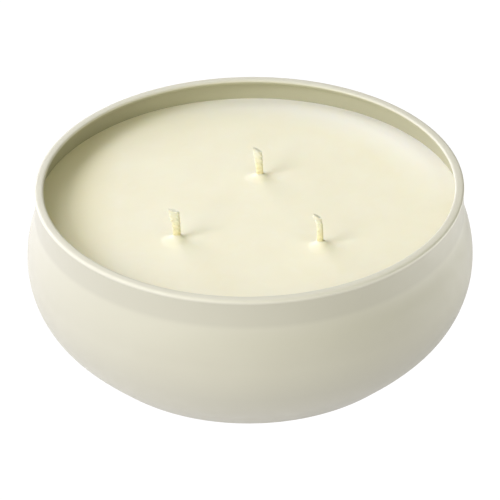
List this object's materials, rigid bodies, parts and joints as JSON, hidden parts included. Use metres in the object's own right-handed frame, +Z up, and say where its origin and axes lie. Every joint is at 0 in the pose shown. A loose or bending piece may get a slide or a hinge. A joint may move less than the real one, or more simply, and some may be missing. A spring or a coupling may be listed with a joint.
{
  "type": "three-wick candle tin",
  "caption": "Wide, low, bowl-shaped painted tin with a curled rim, filled with cream wax that holds upright flat cotton wicks.",
  "frame": {"origin": "centre of the base, in the plane the tin stands on", "axes": "+Z up along the tin's axis, +X to the right and -Y towards the viewer, with the lone wick at the rear on +Y"},
  "size_m": [0.1576, 0.1576, 0.0606],
  "materials": {
    "tin_paint": "matte cream-grey powder paint, the same inside and outside",
    "wax": "smooth, slightly translucent cream wax with a soft sheen",
    "wick_cotton": "flat braided cotton, soaked in wax",
    "clip_metal": "plain tin-plate",
    "sticker_foam": "white closed-cell foam with adhesive on both sides",
    "label_paper": "plain uncoated paper without print"
  },
  "bodies": {
    "root": {"tin_bowl": "tin_paint", "wax_fill": "wax", "wick_left": "wick_cotton", "wick_right": "wick_cotton", "wick_rear": "wick_cotton", "wick_clip_left": "clip_metal", "wick_clip_right": "clip_metal", "wick_clip_rear": "clip_metal", "wick_sticker_left": "sticker_foam", "wick_sticker_right": "sticker_foam", "wick_sticker_rear": "sticker_foam", "base_label": "label_paper"}
  },
  "joints": []
}
